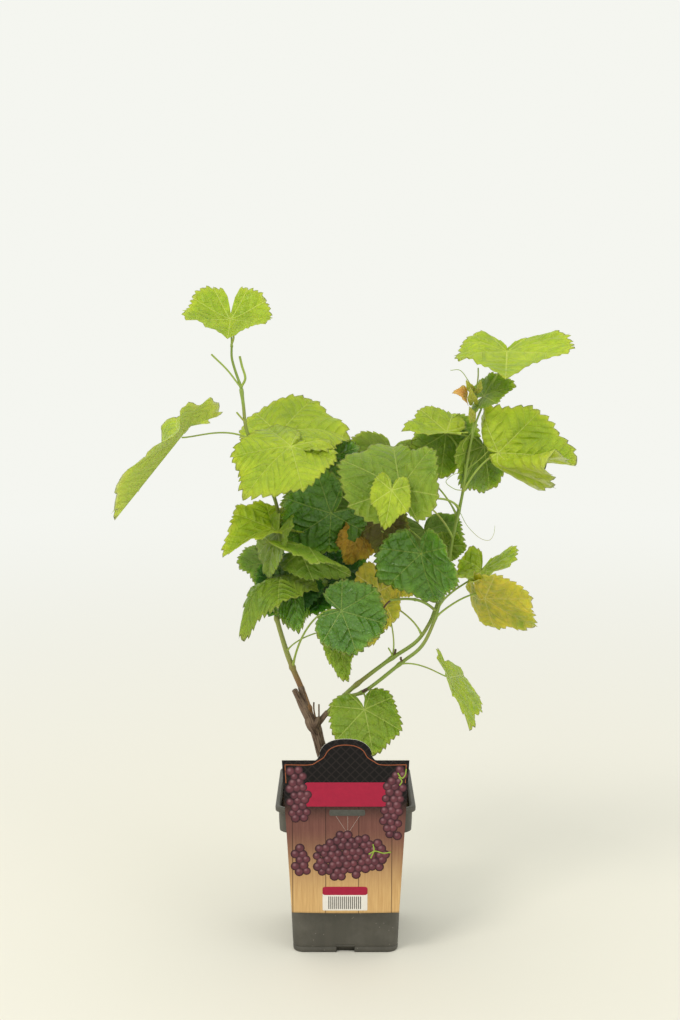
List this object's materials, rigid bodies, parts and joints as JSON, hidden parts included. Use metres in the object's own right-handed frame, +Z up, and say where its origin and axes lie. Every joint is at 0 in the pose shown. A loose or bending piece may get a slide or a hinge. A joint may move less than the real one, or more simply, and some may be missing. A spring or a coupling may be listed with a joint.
{
  "type": "potted grapevine",
  "caption": "Young grapevine in a square plastic nursery pot with a picture card: short old trunk, arms, climbing green shoots and lobed toothed leaves.",
  "frame": {"origin": "middle of the pot's flat underside, where it stands", "axes": "+Z up, front with the card towards -Y, +X to the right seen from the front"},
  "size_m": [0.4382, 0.1656, 0.6317],
  "materials": {
    "old_bark": "rough peeling grey-brown bark",
    "young_bark": "smooth tan-brown bark, one year old",
    "green_stem": "satin green shoot, slightly ribbed",
    "pot_plastic": "moulded recycled polypropylene, dull satin",
    "soil": "moist dark peat with specks of moss",
    "card": "printed and varnished board",
    "leaf_bright": "young yellow-green leaf, satin",
    "leaf_pale": "pale downy underside",
    "leaf_mid": "mid-green leaf, satin",
    "leaf_deep": "deep green mature leaf, crinkled, glossy",
    "leaf_shade": "shaded dark green leaf",
    "leaf_yellow": "leaf turning yellow",
    "leaf_bronze": "bronze-brown dying leaf",
    "leaf_rust": "withered ochre leaf"
  },
  "bodies": {
    "root": {"foliage_back_left": "leaf_deep", "foliage_back_low": "leaf_mid", "foliage_back_low_left": "leaf_deep", "foliage_back_right": "leaf_deep", "foliage_back_top": "leaf_mid", "foliage_back_upper_left": "leaf_mid", "foliage_centre_bright": "leaf_bright", "foliage_centre_bronze": "leaf_bronze", "foliage_centre_left": "leaf_deep", "foliage_centre_olive": "leaf_yellow", "foliage_centre_right": "leaf_deep", "foliage_centre_rusty": "leaf_rust", "foliage_centre_top": "leaf_mid", "foliage_dark_inner": "leaf_shade", "foliage_far_left": "leaf_bright", "foliage_far_right": "leaf_bright", "foliage_left_crown": "leaf_bright", "foliage_left_curled": "leaf_pale", "foliage_left_drooping": "leaf_mid", "foliage_left_front": "leaf_bright", "foliage_left_inner": "leaf_deep", "foliage_left_pendant": "leaf_mid", "foliage_left_recess": "leaf_shade", "foliage_left_strip": "leaf_deep", "foliage_left_wing": "leaf_bright", "foliage_low_crinkled": "leaf_deep", "foliage_low_flap": "leaf_mid", "foliage_low_heart": "leaf_mid", "foliage_low_yellow": "leaf_yellow", "foliage_right_back": "leaf_mid", "foliage_right_hanging": "leaf_bright", "foliage_right_inner": "leaf_mid", "foliage_right_saddle": "leaf_bright", "foliage_right_shoot_leaf": "leaf_mid", "foliage_right_small": "leaf_mid", "foliage_right_wing": "leaf_bright", "foliage_right_yellow": "leaf_yellow", "foliage_top_left": "leaf_bright", "foliage_top_right": "leaf_bright", "left_arm": "young_bark", "left_shoot": "green_stem", "left_shoot_tip": "green_stem", "left_spur": "green_stem", "old_stub": "old_bark", "picture_card": "card", "pot": "pot_plastic", "right_arm": "green_stem", "right_shoot_lower": "green_stem", "right_shoot_upper": "green_stem", "side_shoot": "green_stem", "soil": "soil", "trunk": "old_bark"}
  },
  "joints": []
}
